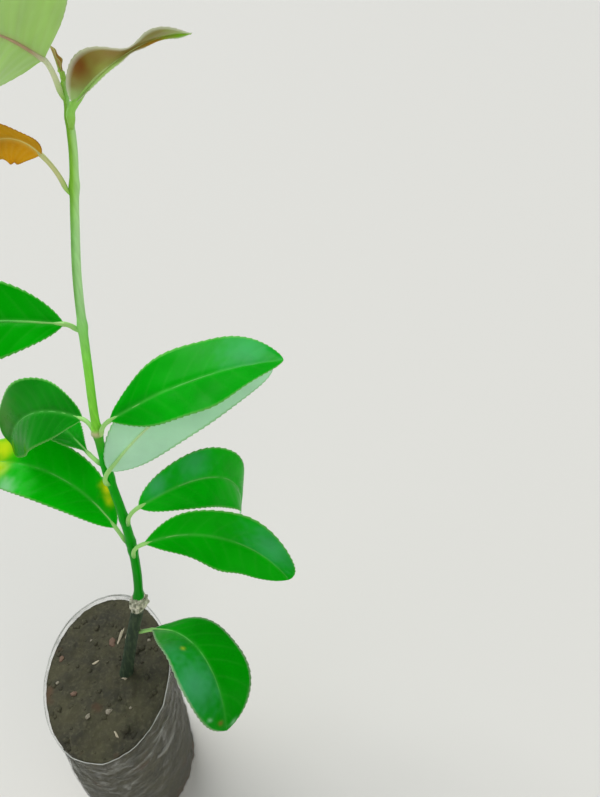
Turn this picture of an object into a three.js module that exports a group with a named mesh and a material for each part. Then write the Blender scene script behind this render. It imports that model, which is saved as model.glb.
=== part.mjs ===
// A lemon sapling, raised as a cutting, in its soil-filled film nursery bag.
// Millimetres and degrees, +Z up. The origin is the centre of the bag's flat underside.
// A bearing is measured round from +X towards +Y, and a rise up from level.
import * as THREE from 'three';

// The gap between touching pieces
const CLEAR = 0.3;

// The filled bag: a tube of film about 134 mm wide when flat, pressed oval and flared at its mouth
const BAG_HEIGHT = 144;
const BAG_WALL = 1.0;
const BAG_RADIUS = 41.3;
const BAG_MOUTH_RADIUS = 43.6;
const BAG_BELLY_RADIUS = 42.5;
const BAG_BELLY_HEIGHT = 58;
const BAG_NECK_HEIGHT = 122;
const BAG_FOOT_RADIUS = 31;
const BAG_CORNER_RADIUS = 39.8;
const BAG_CORNER_HEIGHT = 9;
const BAG_CORNER_STEPS = 4;
const BAG_WALL_STEPS = 9;
const BAG_MOUTH_SQUEEZE = 0.16;
const BAG_FOOT_SQUEEZE = 0.06;
const BAG_TURN = 13;
const BAG_LEAN = new THREE.Vector3(1.5, 4.5, 0);
const UP = new THREE.Vector3(0, 0, 1);
const BAG_SIDES = 48;

// The soil, level near the stem and a little lower at the film
const SOIL_TOP = 140;
const SOIL_EDGE_DROP = 2;
const SOIL_GAP = 0.7;
const SOIL_LEVEL_RADIUS = 26;

// The old cutting: a short woody stub with a callus on its cut top
const STUB_TOP = 67;
const STUB_RADIUS = 3.4;
const STUB_FOOT_RADIUS = 4.2;
const STUB_FLARE = 7;
const CALLUS_RADIUS = 4.5;
const CALLUS_HEIGHT = 60;
const CALLUS_SPREAD = 3.6;
const STUB_SHOULDER = 63;
const STUB_SHOULDER_FALL = 0.25;
const STUB_SIDES = 12;
const STUB_STEPS = 22;

// The green shoot that grew from the callus, as radii at heights over the soil
const SHOOT_TOP = 308;
const SHOOT_TAPER = [
  [67, 2.4], [110, 2.3], [172, 1.9], [225, 1.8], [275, 1.6], [292, 1.5], [299, 1], [308, 0.8],
];
const NODE_SWELL = 0.4;
const NODE_SPREAD = 2.5;
const SHOOT_SIDES = 10;
const SHOOT_STEPS = 48;

// The centre line of stub and shoot: height over the soil, then x and y
const STEM_LINE = [
  [0, 12.5, 4], [30, 20, 9.5], [60, 28, 16], [90, 31, 21], [120, 30, 26], [145, 27, 31],
  [172, 26, 35.5], [205, 28, 41.5], [240, 31, 47.5], [265, 35, 52], [287, 39, 55.5], [308, 40, 59.5],
];

// Every leaf: a round stalk that runs out into a flat blade
const STALK_RADIUS = 1.1;
const STALK_STEPS = 4;
const BLADE_STEPS = 15;
const LEAF_SIDES = 8;
const BLADE_THICKNESS_SHARE = 0.013;
const BLADE_LEAST_THICKNESS = 0.8;
const PINCH_SHARE = 0.52;
const PINCH_SPREAD = 0.13;
const BLADE_TIP_HALF = 0.5;
const STALK_RUN_OUT = 0.12;
const SAG_POWER = 1.3;

// The leaves from the lowest up. at is the height over the soil where the stalk leaves the stem.
// sag and swing bend the blade down and round, roll and twist turn it about its midrib.
// pinch narrows the blade at its middle, and right is the share of its right half that isn't rolled under.
const LEAVES = [
  { name: 'leaf_01_on_stub', at: 38.5, stalk: [-2, 23, 8.5], bearing: -14, rise: 38, length: 82, width: 40,
    sag: 98, swing: -70, roll: -22, twist: -5, fold: 6, base: 1.0, tip: 0.7 },
  { name: 'leaf_02_right', at: 99.5, stalk: [-45, 86, 12], bearing: 6.5, rise: 24, length: 81, width: 34,
    sag: 77, swing: -34, roll: 55, twist: 23, fold: 6, base: 1.0, tip: 0.6 },
  { name: 'leaf_03_left', at: 105, stalk: [144, 57, 8], bearing: 135, rise: 26, length: 87, width: 32,
    sag: 37, swing: 46, roll: -21, twist: -5, fold: 6, base: 0.75, tip: 0.45 },
  { name: 'leaf_04_right', at: 120.5, stalk: [7, 85, 11], bearing: 34.5, rise: 9, length: 89, width: 31,
    sag: 116, swing: 16, roll: 51, twist: 0, fold: 6, base: 0.62, tip: 0.5 },
  { name: 'leaf_05_behind', at: 149, stalk: [80, 40, 7], bearing: 58, rise: 18, length: 62, width: 27,
    sag: 30, swing: 0, roll: 0, twist: 0, fold: 8, base: 0.75, tip: 0.6 },
  { name: 'leaf_06_upturned', at: 145, stalk: [-107, 67, 9.5], bearing: 39, rise: 39, length: 90, width: 31,
    sag: 38, swing: -31, roll: -125, twist: 0, fold: 0, base: 0.6, tip: 0.67 },
  { name: 'leaf_07_back_left', at: 153.5, stalk: [156, 34, 7], bearing: 132, rise: -3, length: 69, width: 31,
    sag: 38, swing: 0, roll: 3, twist: 0, fold: 6, base: 1.3, tip: 0.62, right: 0.7 },
  { name: 'leaf_08_right', at: 173, stalk: [-2, 77, 8], bearing: 16, rise: 27.5, length: 82, width: 38,
    sag: 16, swing: -22.5, roll: 25, twist: -24, fold: 6, base: 0.85, tip: 0.7 },
  { name: 'leaf_09_left', at: 170, stalk: [125, 51, 8.5], bearing: 151, rise: -5, length: 71, width: 35.5,
    sag: 67, swing: 17.5, roll: -47, twist: -6, fold: 6, base: 0.72, tip: 0.45 },
  { name: 'leaf_10_left', at: 222, stalk: [200, 55, 4], bearing: 188, rise: 12, length: 76, width: 37,
    sag: 40, swing: -8, roll: -44, twist: 0, fold: 7, base: 0.75, tip: 0.55 },
  { name: 'leaf_11_withered', at: 275, stalk: [180, 78, 12], bearing: 185, rise: 52, length: 26, width: 15,
    sag: 150, swing: 0, roll: -108, twist: 0, fold: 25, base: 0.55, tip: 0.8 },
  { name: 'leaf_12_bronze', at: 297, stalk: [16, 83, 4.5], bearing: 0, rise: 45, length: 49, width: 22,
    sag: 58, swing: 56, roll: 77, twist: 70, fold: 30, base: 0.75, tip: 0.8, pinch: 0.78, right: 0.3 },
  { name: 'leaf_13_pale', at: 305, stalk: [230, 84, 13.5], bearing: 275, rise: 23, length: 60, width: 44,
    sag: 14, swing: 9, roll: 38, twist: 33, fold: 6, base: 0.45, tip: 0.75 },
];

// The newest leaf, still folded, on the shoot's very tip
const TIP_LEAF = { name: 'leaf_14_tip', bearing: 150, rise: 80, length: 8, width: 4.5,
  sag: 25, swing: 0, roll: 40, twist: 0, fold: 25, base: 0.8, tip: 0.9, stalkLength: 1.5 };

// Colours and finishes
const FILM = new THREE.Color('#8f8a7c');
const SOIL = new THREE.Color('#5a5143');
const BARK = new THREE.Color('#3d4a3c');
const SHOOT_GREEN = new THREE.Color('#5fa83a');
const LEAF_GREEN = new THREE.Color('#0c8a1c');
const YOUNG_GREEN = new THREE.Color('#a9c46a');
const BRONZE = new THREE.Color('#8a5a2a');
const WITHERED = new THREE.Color('#c08a3a');

function finish(color, roughness) {
  return new THREE.MeshStandardMaterial({ color, roughness, metalness: 0 });
}

// A direction from its bearing and rise
function heading(bearing, rise) {
  const round = THREE.MathUtils.degToRad(bearing);
  const up = THREE.MathUtils.degToRad(rise);
  return new THREE.Vector3(
    Math.cos(up) * Math.cos(round),
    Math.cos(up) * Math.sin(round),
    Math.sin(up),
  );
}

// The stretch of a list of marks that holds a height, and the share of the way along it
function stretchAt(marks, height) {
  let low = 0;
  while (low < marks.length - 2 && marks[low + 1][0] < height) low += 1;
  const share = (height - marks[low][0]) / (marks[low + 1][0] - marks[low][0]);
  return { low, share };
}

// The slope of one column of the stem's marks, from the marks on both sides
function slopeAt(mark, column) {
  const before = STEM_LINE[Math.max(mark - 1, 0)];
  const after = STEM_LINE[Math.min(mark + 1, STEM_LINE.length - 1)];
  return (after[column] - before[column]) / (after[0] - before[0]);
}

// A smooth curve through the stem's marks
function stemAt(height) {
  const { low, share } = stretchAt(STEM_LINE, height);
  const span = STEM_LINE[low + 1][0] - STEM_LINE[low][0];
  const place = [1, 2].map((column) => {
    const start = STEM_LINE[low][column];
    const end = STEM_LINE[low + 1][column];
    const leave = slopeAt(low, column) * span;
    const arrive = slopeAt(low + 1, column) * span;
    const square = share * share;
    const cube = square * share;
    return start * (2 * cube - 3 * square + 1) + leave * (cube - 2 * square + share)
      + end * (3 * square - 2 * cube) + arrive * (cube - square);
  });
  return new THREE.Vector3(place[0], place[1], SOIL_TOP + height);
}

function stemDirection(height) {
  return stemAt(height + 1).sub(stemAt(height - 1)).normalize();
}

function bump(distance, spread) {
  return Math.exp(-((distance / spread) ** 2));
}

function stubRadius(height) {
  const flare = (STUB_FOOT_RADIUS - STUB_RADIUS) * Math.exp(-height / STUB_FLARE);
  const callus = (CALLUS_RADIUS - STUB_RADIUS) * bump(height - CALLUS_HEIGHT, CALLUS_SPREAD);
  const roundedTop = Math.max(0, height - STUB_SHOULDER) * STUB_SHOULDER_FALL;
  return STUB_RADIUS + flare + callus - roundedTop;
}

// The shoot tapers, and swells a little under each leaf
function shootRadius(height) {
  const { low, share } = stretchAt(SHOOT_TAPER, height);
  let radius = THREE.MathUtils.lerp(SHOOT_TAPER[low][1], SHOOT_TAPER[low + 1][1], share);
  for (const leaf of LEAVES) {
    if (leaf.at > STUB_TOP) radius += NODE_SWELL * bump(height - leaf.at, NODE_SPREAD);
  }
  return radius;
}

function stemRadius(height) {
  return height < STUB_TOP ? stubRadius(height) : shootRadius(height);
}

// A capped round bar of unit size, with each ring moved to its place
function bar(sides, steps, place) {
  const geometry = new THREE.CylinderGeometry(1, 1, 1, sides, steps);
  const spots = geometry.attributes.position;
  for (let i = 0; i < spots.count; i += 1) {
    const ring = Math.round((spots.getY(i) + 0.5) * steps);
    const spot = place(ring, spots.getX(i), spots.getZ(i));
    spots.setXYZ(i, spot.x, spot.y, spot.z);
  }
  geometry.computeVertexNormals();
  return geometry;
}

// A stretch of the stem, cut level at its foot
function stemPiece(from, to, sides, steps, radiusAt) {
  return bar(sides, steps, (ring, x, z) => {
    const height = THREE.MathUtils.lerp(from, to, ring / steps);
    const radius = radiusAt(height);
    const centre = stemAt(height);
    return new THREE.Vector3(centre.x + radius * x, centre.y - radius * z, centre.z);
  });
}

// How the blade lies at a share of its length: ahead, out to its left side, and over its top
function bladeFrame(leaf, share) {
  const bearing = leaf.bearing + leaf.swing * share;
  const ahead = heading(bearing, leaf.rise - leaf.sag * share ** SAG_POWER);
  const turn = THREE.MathUtils.degToRad(leaf.roll + leaf.twist * share);
  const side = heading(bearing + 90, 0).applyAxisAngle(ahead, turn);
  const over = new THREE.Vector3().crossVectors(ahead, side);
  return { ahead, side, over };
}

// The blade's half width: widest where its base and tip powers balance, less any pinch
function halfWidth(leaf, share) {
  const peak = leaf.base / (leaf.base + leaf.tip);
  const most = peak ** leaf.base * (1 - peak) ** leaf.tip;
  const plain = (leaf.width / 2) * (share ** leaf.base * (1 - share) ** leaf.tip) / most;
  return plain * (1 - (leaf.pinch ?? 0) * bump(share - PINCH_SHARE, PINCH_SPREAD));
}

// Stations close up towards both ends of the blade
function stationShare(step) {
  return (1 - Math.cos((Math.PI * step) / BLADE_STEPS)) / 2;
}

function leafGeometry(leaf, start, stalkAhead, stalkLength) {
  const first = bladeFrame(leaf, 0);
  const rings = [];
  const centre = start.clone();
  for (let step = 0; step < STALK_STEPS; step += 1) {
    const ahead = stalkAhead.clone().lerp(first.ahead, step / STALK_STEPS).normalize();
    const side = first.side.clone().addScaledVector(ahead, -first.side.dot(ahead)).normalize();
    const over = new THREE.Vector3().crossVectors(ahead, side);
    rings.push({ centre: centre.clone(), side, over, half: STALK_RADIUS, thick: STALK_RADIUS });
    const middle = stalkAhead.clone().lerp(first.ahead, (step + 0.5) / STALK_STEPS).normalize();
    centre.addScaledVector(middle, stalkLength / STALK_STEPS);
  }
  const thickness = Math.max(leaf.length * BLADE_THICKNESS_SHARE, BLADE_LEAST_THICKNESS);
  for (let step = 0; step <= BLADE_STEPS; step += 1) {
    const share = stationShare(step);
    const runOut = Math.min(share / STALK_RUN_OUT, 1);
    const leastHalf = THREE.MathUtils.lerp(STALK_RADIUS, BLADE_TIP_HALF, share);
    const { side, over } = bladeFrame(leaf, share);
    rings.push({
      centre: centre.clone(),
      side,
      over,
      half: Math.max(halfWidth(leaf, share), leastHalf),
      thick: THREE.MathUtils.lerp(STALK_RADIUS, thickness / 2, runOut),
    });
    const next = stationShare(step + 1);
    centre.addScaledVector(bladeFrame(leaf, (share + next) / 2).ahead, (next - share) * leaf.length);
  }
  const keel = Math.sin(THREE.MathUtils.degToRad(leaf.fold));
  return bar(LEAF_SIDES, rings.length - 1, (ring, x, z) => {
    const { centre: middle, side, over, half, thick } = rings[ring];
    const onBlade = ring > STALK_STEPS;
    const reach = half * x * (onBlade && x < 0 ? leaf.right ?? 1 : 1);
    const lift = onBlade ? Math.abs(reach) * keel : 0;
    return middle.clone().addScaledVector(side, reach).addScaledVector(over, lift - thick * z);
  });
}

// A leaf on the stem's side: its stalk starts clear of the stem by the gap
function sideLeaf(leaf) {
  const [bearing, rise, length] = leaf.stalk;
  const ahead = heading(bearing, rise);
  const along = stemDirection(leaf.at);
  const out = ahead.clone().addScaledVector(along, -ahead.dot(along)).normalize();
  const tilt = Math.sqrt(1 - out.dot(ahead) ** 2);
  const reach = stemRadius(leaf.at) + CLEAR + STALK_RADIUS * tilt;
  return leafGeometry(leaf, stemAt(leaf.at).addScaledVector(out, reach), ahead, length);
}

function tipLeaf(leaf) {
  const ahead = stemDirection(SHOOT_TOP - 2);
  const lean = Math.hypot(ahead.x, ahead.y);
  const start = stemAt(SHOOT_TOP).addScaledVector(ahead, CLEAR + STALK_RADIUS * lean);
  return leafGeometry(leaf, start, ahead, leaf.stalkLength);
}

// Presses a turned shape oval, more at the mouth than at the foot, turns it, and leans its mouth over
function pressOval(geometry) {
  const spots = geometry.attributes.position;
  const spot = new THREE.Vector3();
  for (let i = 0; i < spots.count; i += 1) {
    spot.fromBufferAttribute(spots, i);
    const share = THREE.MathUtils.clamp(spot.z / BAG_HEIGHT, 0, 1);
    const squeeze = THREE.MathUtils.lerp(BAG_FOOT_SQUEEZE, BAG_MOUTH_SQUEEZE, share);
    spot.set(spot.x * (1 - squeeze), spot.y * (1 + squeeze), spot.z);
    spot.applyAxisAngle(UP, THREE.MathUtils.degToRad(BAG_TURN)).addScaledVector(BAG_LEAN, share ** 2);
    spots.setXYZ(i, spot.x, spot.y, spot.z);
  }
  geometry.computeVertexNormals();
  return geometry;
}

function turned(profile) {
  const geometry = new THREE.LatheGeometry(profile, BAG_SIDES);
  geometry.rotateX(Math.PI / 2);
  return geometry;
}

// The side of the filled bag from its flat foot up, set in by an inset on every face
function bagSide(inset, top) {
  const corner = new THREE.QuadraticBezierCurve(
    new THREE.Vector2(BAG_FOOT_RADIUS, 0),
    new THREE.Vector2(BAG_CORNER_RADIUS, 0),
    new THREE.Vector2(BAG_CORNER_RADIUS, BAG_CORNER_HEIGHT),
  );
  const wall = new THREE.SplineCurve([
    new THREE.Vector2(BAG_CORNER_RADIUS, BAG_CORNER_HEIGHT),
    new THREE.Vector2(BAG_BELLY_RADIUS, BAG_BELLY_HEIGHT),
    new THREE.Vector2(BAG_RADIUS, BAG_NECK_HEIGHT),
    new THREE.Vector2(BAG_MOUTH_RADIUS, BAG_HEIGHT),
  ]);
  const side = [...corner.getPoints(BAG_CORNER_STEPS), ...wall.getPoints(BAG_WALL_STEPS).slice(1)];
  const below = side.filter((p) => p.y < top - BAG_WALL);
  const last = below.at(-1);
  const above = side.find((p) => p.y >= top);
  below.push(last.clone().lerp(above, (top - last.y) / (above.y - last.y)));
  return below.map((p) => new THREE.Vector2(p.x - inset, Math.max(p.y, inset)));
}

function bagGeometry() {
  const outer = [new THREE.Vector2(0, 0), ...bagSide(0, BAG_HEIGHT)];
  const inner = [new THREE.Vector2(0, BAG_WALL), ...bagSide(BAG_WALL, BAG_HEIGHT)];
  return pressOval(turned([...outer, ...inner.reverse()]));
}

function soilGeometry() {
  const edge = SOIL_TOP - SOIL_EDGE_DROP;
  const inset = BAG_WALL + SOIL_GAP;
  const side = [new THREE.Vector2(0, inset), ...bagSide(inset, edge)];
  return pressOval(turned([
    ...side,
    new THREE.Vector2(SOIL_LEVEL_RADIUS, SOIL_TOP),
    new THREE.Vector2(0, SOIL_TOP),
  ]));
}

const sapling = new THREE.Group();

function add(name, geometry, material) {
  const mesh = new THREE.Mesh(geometry, material);
  mesh.name = name;
  sapling.add(mesh);
}

function leafFinish(name) {
  if (name.endsWith('withered')) return finish(WITHERED, 0.6);
  if (name.endsWith('bronze')) return finish(BRONZE, 0.45);
  if (name.endsWith('pale') || name.endsWith('tip')) return finish(YOUNG_GREEN, 0.5);
  return finish(LEAF_GREEN, 0.35);
}

add('nursery_bag', bagGeometry(), finish(FILM, 0.25));
add('soil', soilGeometry(), finish(SOIL, 0.95));
add('woody_stub', stemPiece(CLEAR, STUB_TOP, STUB_SIDES, STUB_STEPS, stubRadius), finish(BARK, 0.85));
add(
  'green_shoot',
  stemPiece(STUB_TOP + CLEAR, SHOOT_TOP, SHOOT_SIDES, SHOOT_STEPS, shootRadius),
  finish(SHOOT_GREEN, 0.5),
);
for (const leaf of LEAVES) add(leaf.name, sideLeaf(leaf), leafFinish(leaf.name));
add(TIP_LEAF.name, tipLeaf(TIP_LEAF), leafFinish(TIP_LEAF.name));

export default sapling;
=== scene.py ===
import math
import random

import bmesh
import bpy
from mathutils import Euler, Matrix, Vector, noise


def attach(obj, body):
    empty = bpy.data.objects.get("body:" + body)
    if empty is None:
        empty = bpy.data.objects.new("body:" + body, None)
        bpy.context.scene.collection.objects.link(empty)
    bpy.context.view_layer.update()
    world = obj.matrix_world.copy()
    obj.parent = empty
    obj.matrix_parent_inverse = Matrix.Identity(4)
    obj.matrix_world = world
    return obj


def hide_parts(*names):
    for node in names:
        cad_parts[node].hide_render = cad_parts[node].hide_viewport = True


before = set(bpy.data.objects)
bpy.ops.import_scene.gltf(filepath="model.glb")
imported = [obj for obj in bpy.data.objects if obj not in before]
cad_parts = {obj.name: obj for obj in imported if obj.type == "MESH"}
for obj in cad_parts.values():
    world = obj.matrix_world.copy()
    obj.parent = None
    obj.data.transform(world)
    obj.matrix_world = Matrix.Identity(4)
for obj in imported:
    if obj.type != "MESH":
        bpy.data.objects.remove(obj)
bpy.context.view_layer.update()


# The setting: a seamless pale floor under soft studio light, seen from where the photograph was taken.
# The camera stands for a hand-held phone with a wide lens, 36 cm over the soil.
CAMERA_PLACE = (0.116, -0.1518, 0.500)
# In degrees up from straight down
CAMERA_TIP = 48
LENS = 27
SENSOR_WIDTH = 36
FLOOR_SIZE = 12
FLOOR_COLOUR = "#d8d5cd"
FLOOR_ROUGHNESS = 0.9
SKY_COLOUR = "#dfe8f2"
SKY_STRENGTH = 0.42
# Each light: the direction that it comes from, its apparent width in degrees, strength and colour
LIGHTS = {
    "light_overhead": ((-0.45, 0.5, 1.0), 40, 2.3, "#fbfdff"),
    "light_front": ((0.7, -1.0, 0.9), 60, 0.75, "#fff8ee"),
    "light_left": ((-1.5, -0.35, 0.7), 60, 0.35, "#eef5ff"),
}


def linear(colour):
    """An sRGB hex colour as the linear values that Blender works in."""
    parts = [int(colour[i:i + 2], 16) / 255 for i in (1, 3, 5)]
    return Vector([c / 12.92 if c <= 0.04045 else ((c + 0.055) / 1.055) ** 2.4 for c in parts] + [1])


def start_material(name):
    """A new material, its node tree, and its shader, which the tree already feeds to the output."""
    made = bpy.data.materials.new(name)
    made.use_nodes = True
    return made, made.node_tree, made.node_tree.nodes["Principled BSDF"]


def make_piece(name, mesh, *materials, scale=0.001):
    """Turns a bmesh, drawn in millimetres, into a smooth-shaded object."""
    bmesh.ops.scale(mesh, vec=(scale, scale, scale), verts=mesh.verts)
    for face in mesh.faces:
        face.smooth = True
    data = bpy.data.meshes.new(name)
    mesh.to_mesh(data)
    mesh.free()
    for surface in materials:
        data.materials.append(surface)
    piece = bpy.data.objects.new(name, data)
    bpy.context.scene.collection.objects.link(piece)
    return piece


scene = bpy.context.scene
scene.view_settings.view_transform = "Standard"
camera = bpy.data.objects.new("camera", bpy.data.cameras.new("camera"))
camera.data.lens = LENS
camera.data.sensor_width = SENSOR_WIDTH
camera.location = CAMERA_PLACE
camera.rotation_euler = Euler((math.radians(CAMERA_TIP), 0, 0))
scene.collection.objects.link(camera)
scene.camera = camera

for name, (place, width, strength, colour) in LIGHTS.items():
    lamp = bpy.data.lights.new(name, "SUN")
    lamp.angle = math.radians(width)
    lamp.energy = strength
    lamp.color = linear(colour)[:3]
    light = bpy.data.objects.new(name, lamp)
    light.rotation_euler = Vector(place).to_track_quat("Z", "Y").to_euler()
    scene.collection.objects.link(light)

scene.world = bpy.data.worlds.new("soft_sky")
scene.world.use_nodes = True
sky = scene.world.node_tree.nodes["Background"]
sky.inputs["Color"].default_value = linear(SKY_COLOUR)
sky.inputs["Strength"].default_value = SKY_STRENGTH

# Matt backdrop paper gives an even, dull ground that takes only the plant's soft shadow
paper, tree, shader = start_material("backdrop_paper")
shader.inputs["Base Color"].default_value = linear(FLOOR_COLOUR)
shader.inputs["Roughness"].default_value = FLOOR_ROUGHNESS
mesh = bmesh.new()
bmesh.ops.create_grid(mesh, x_segments=1, y_segments=1, size=FLOOR_SIZE / 2)
floor = make_piece("floor", mesh, paper, scale=1)


# The nursery bag: a tube of clear polythene film, heat-sealed across its foot and packed full of soil.
# The soil's lumps press it out, its foot is pleated where the corners tuck under, and its cut mouth
# is gathered in crinkles. Packing in a tray has pressed it oval.
FILM_THICKNESS = 0.35
BAG_HEIGHT = 144
BAG_FOOT_RADIUS = 31
BAG_CORNER_RADIUS = 39.8
BAG_CORNER_HEIGHT = 9
# The wall's height and radius, from the foot's corner up
BAG_WALL = [(9, 39.8), (58, 42.5), (122, 41.3), (144, 43.6)]
BAG_LEAN = Vector((1.5, 4.5, 0))
RIM_HEIGHT = 141.6
RIM_WAVE = 1.2
BAG_FOOT_SQUEEZE = 0.06
BAG_MOUTH_SQUEEZE = 0.16
BAG_TURN = math.radians(13)
# The size and height of the soil's lumps under the film
FILM_LUMPS = ((17, 0.9), (7, 0.35))
CREASE_SPACING = 9
CREASE_HEIGHT = 0.45
PLEATS_A_RADIAN = 5.2
PLEAT_HEIGHT = 0.9
PLEAT_REACH = 24
# The film lies smoother near its cut edge
RIM_CALM = 0.75
RIM_CALM_REACH = 7
# The side on which the mouth is gathered, in degrees, and the height at which its crinkles stand out most
GATHER_BEARING = -52
GATHER_SPREAD = 50
GATHER_HEIGHT = 124
GATHER_REACH = 17
CRINKLE_HEIGHT = 1.5
SMALL_CRINKLE_HEIGHT = 0.6
CRINKLE_HOLLOW = -0.4
BAG_STEPS_ROUND = 264
BAG_STEPS_UP = 104
BAG_FOOT_STEPS = 8
FILM_COLOUR = "#c9c9c0"
FILM_ROUGHNESS = 0.14
POLYTHENE_IOR = 1.51
FILM_WRINKLE_SIZE = 22
# Heights in metres: where the painted glints along the wrinkles grow stronger, and the milky band along the
# cut edge
GLINT_STREAKS_FROM, GLINT_STREAKS_TO = 0.04, 0.135
CUT_EDGE_FROM, CUT_EDGE_TO = 0.1398, 0.1412


def mark_before(marks, at):
    """The last mark that comes before a place along their first column."""
    low = 0
    while low < len(marks) - 2 and marks[low + 1][0] < at:
        low += 1
    return low


def through(marks, at):
    """The other columns of a list of marks, at a place along the first, on a smooth curve."""
    low = mark_before(marks, at)
    span = marks[low + 1][0] - marks[low][0]
    share = (at - marks[low][0]) / span
    square, cube = share ** 2, share ** 3
    values = []
    for column in range(1, len(marks[0])):
        slopes = []
        for mark in (low, low + 1):
            before, after = marks[max(mark - 1, 0)], marks[min(mark + 1, len(marks) - 1)]
            slopes.append(span * (after[column] - before[column]) / (after[0] - before[0]))
        values.append(
            marks[low][column] * (2 * cube - 3 * square + 1) + slopes[0] * (cube - 2 * square + share)
            + marks[low + 1][column] * (3 * square - 2 * cube) + slopes[1] * (cube - square)
        )
    return values


def bump(distance, spread):
    """1 at no distance, falling smoothly to nothing over about twice the spread."""
    return math.exp(-((distance / spread) ** 2))


def ridge(spot, sharpness):
    """How near a point is to the nearest winding crease: 1 on it, and below 0 well away from it."""
    return 1 - sharpness * abs(noise.noise(spot))


def film_radius(angle, height):
    """The film's radius before it is pressed oval, with the soil's lumps, pleats and crinkles in it."""
    if height < BAG_CORNER_HEIGHT:
        share = math.sqrt(max(height, 0) / BAG_CORNER_HEIGHT)
        plain = BAG_CORNER_RADIUS - (BAG_CORNER_RADIUS - BAG_FOOT_RADIUS) * (1 - share) ** 2
    else:
        plain = through(BAG_WALL, height)[0]
    spot = Vector((math.cos(angle), math.sin(angle), 0)) * plain + Vector((0, 0, height))
    lumps = sum(depth * noise.noise(spot / size) for size, depth in FILM_LUMPS)
    # Creases slant up the wall, and pleats and crinkles run nearly straight up it
    crease = ridge(Vector((angle * plain / CREASE_SPACING + height / 16, height / 40, 3)), 4)
    pleat = ridge(Vector((angle * PLEATS_A_RADIAN, height / 55, 8)), 3)
    calm = 1 - RIM_CALM * bump(RIM_HEIGHT - height, RIM_CALM_REACH)
    off_gather = (math.degrees(angle) - GATHER_BEARING + 180) % 360 - 180
    gathered = bump(off_gather, GATHER_SPREAD) * bump(GATHER_HEIGHT - height, GATHER_REACH)
    run = Vector((math.cos(angle) * 2.6, math.sin(angle) * 2.6, height / 9))
    crinkles = CRINKLE_HEIGHT * max(ridge(run, 3.4), CRINKLE_HOLLOW)
    small_crinkles = SMALL_CRINKLE_HEIGHT * max(ridge(run * 2.3 + Vector((7, 0, 0)), 3), CRINKLE_HOLLOW)
    return (
        plain + calm * (lumps + CREASE_HEIGHT * max(crease, 0))
        + PLEAT_HEIGHT * bump(height, PLEAT_REACH) * max(pleat, -0.6)
        + (gathered + 0.25 * calm) * (crinkles + small_crinkles)
    )


def press_oval(spot):
    """Presses a point of the bag oval, more at the mouth than at the foot, turns it and leans its mouth."""
    share = min(max(spot.z / BAG_HEIGHT, 0), 1)
    squeeze = BAG_FOOT_SQUEEZE + (BAG_MOUTH_SQUEEZE - BAG_FOOT_SQUEEZE) * share
    pressed = Vector((spot.x * (1 - squeeze), spot.y * (1 + squeeze), spot.z))
    return Matrix.Rotation(BAG_TURN, 3, "Z") @ pressed + BAG_LEAN * share ** 2


def lathe(mesh, profile, steps):
    """Spins a profile of radius and height pairs round the upright axis, and closes its seam and poles."""
    spots = [mesh.verts.new((radius, 0, height)) for radius, height in profile]
    edges = [mesh.edges.new(pair) for pair in zip(spots, spots[1:])]
    bmesh.ops.spin(
        mesh, geom=spots + edges, cent=(0, 0, 0), axis=(0, 0, 1), angle=math.tau, steps=steps,
        use_merge=True,
    )
    bmesh.ops.remove_doubles(mesh, verts=mesh.verts, dist=0.001)
    bmesh.ops.recalc_face_normals(mesh, faces=mesh.faces)


def add_node(tree, kind, settings=None, inputs=None):
    """Adds a shader node. Each input is linked from a socket, or else set to a value."""
    made = tree.nodes.new("ShaderNode" + kind)
    for name, value in (settings or {}).items():
        setattr(made, name, value)
    for name, value in (inputs or {}).items():
        if isinstance(value, bpy.types.NodeSocket):
            tree.links.new(value, made.inputs[name])
        else:
            made.inputs[name].default_value = value
    return made


def pattern_scale(size):
    """The scale of a texture whose features are this many millimetres apart."""
    return 1000 / size


mesh = bmesh.new()
foot = [(BAG_FOOT_RADIUS * step / BAG_FOOT_STEPS, 0) for step in range(BAG_FOOT_STEPS)]
wall = [(BAG_CORNER_RADIUS, RIM_HEIGHT * (step / BAG_STEPS_UP) ** 1.15) for step in range(BAG_STEPS_UP + 1)]
lathe(mesh, foot + wall, BAG_STEPS_ROUND)
for spot in mesh.verts:
    angle = math.atan2(spot.co.y, spot.co.x)
    radius, height = spot.co.xy.length, spot.co.z
    if radius > BAG_FOOT_RADIUS - 1:
        wavy = noise.noise(Vector((math.cos(angle), math.sin(angle), 3)) * 1.4)
        height += RIM_WAVE * (height / RIM_HEIGHT) ** 8 * wavy
        radius = film_radius(angle, height)
    spot.co = press_oval(Vector((radius * math.cos(angle), radius * math.sin(angle), height)))

# Clear, glossy film shows the soil through it, with painted glints as white streaks along its wrinkles, and
# a milky band at its cut edge
polythene, tree, shader = start_material("crinkled_polythene_film")
place = add_node(tree, "TexCoord").outputs["Object"]
flattened = add_node(tree, "Mapping", inputs={"Vector": place, "Scale": (1, 1, 3.2)}).outputs["Vector"]
creases = add_node(tree, "TexNoise", {"noise_type": "RIDGED_MULTIFRACTAL"}, {
    "Vector": flattened, "Scale": pattern_scale(FILM_WRINKLE_SIZE), "Detail": 3, "Offset": 1,
    "Gain": 2, "Distortion": 0.6,
})
height = add_node(tree, "SeparateXYZ", inputs={"Vector": place}).outputs["Z"]
most = add_node(tree, "MapRange", {"interpolation_type": "SMOOTHSTEP"}, {
    "Value": height, "From Min": GLINT_STREAKS_FROM, "From Max": GLINT_STREAKS_TO, "To Min": 0.2, "To Max": 0.65,
})
# Painted glints: white streaks along the wrinkles, stronger towards the mouth, drawn as milky film
streaks = add_node(tree, "MapRange", {"interpolation_type": "SMOOTHSTEP"}, {
    "Value": creases.outputs["Fac"], "From Min": 1.0, "From Max": 2.6, "To Min": 0.05,
    "To Max": most.outputs["Result"],
})
edge = add_node(tree, "MapRange", {"interpolation_type": "SMOOTHSTEP"}, {
    "Value": height, "From Min": CUT_EDGE_FROM, "From Max": CUT_EDGE_TO, "To Max": 0.7,
})
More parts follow.
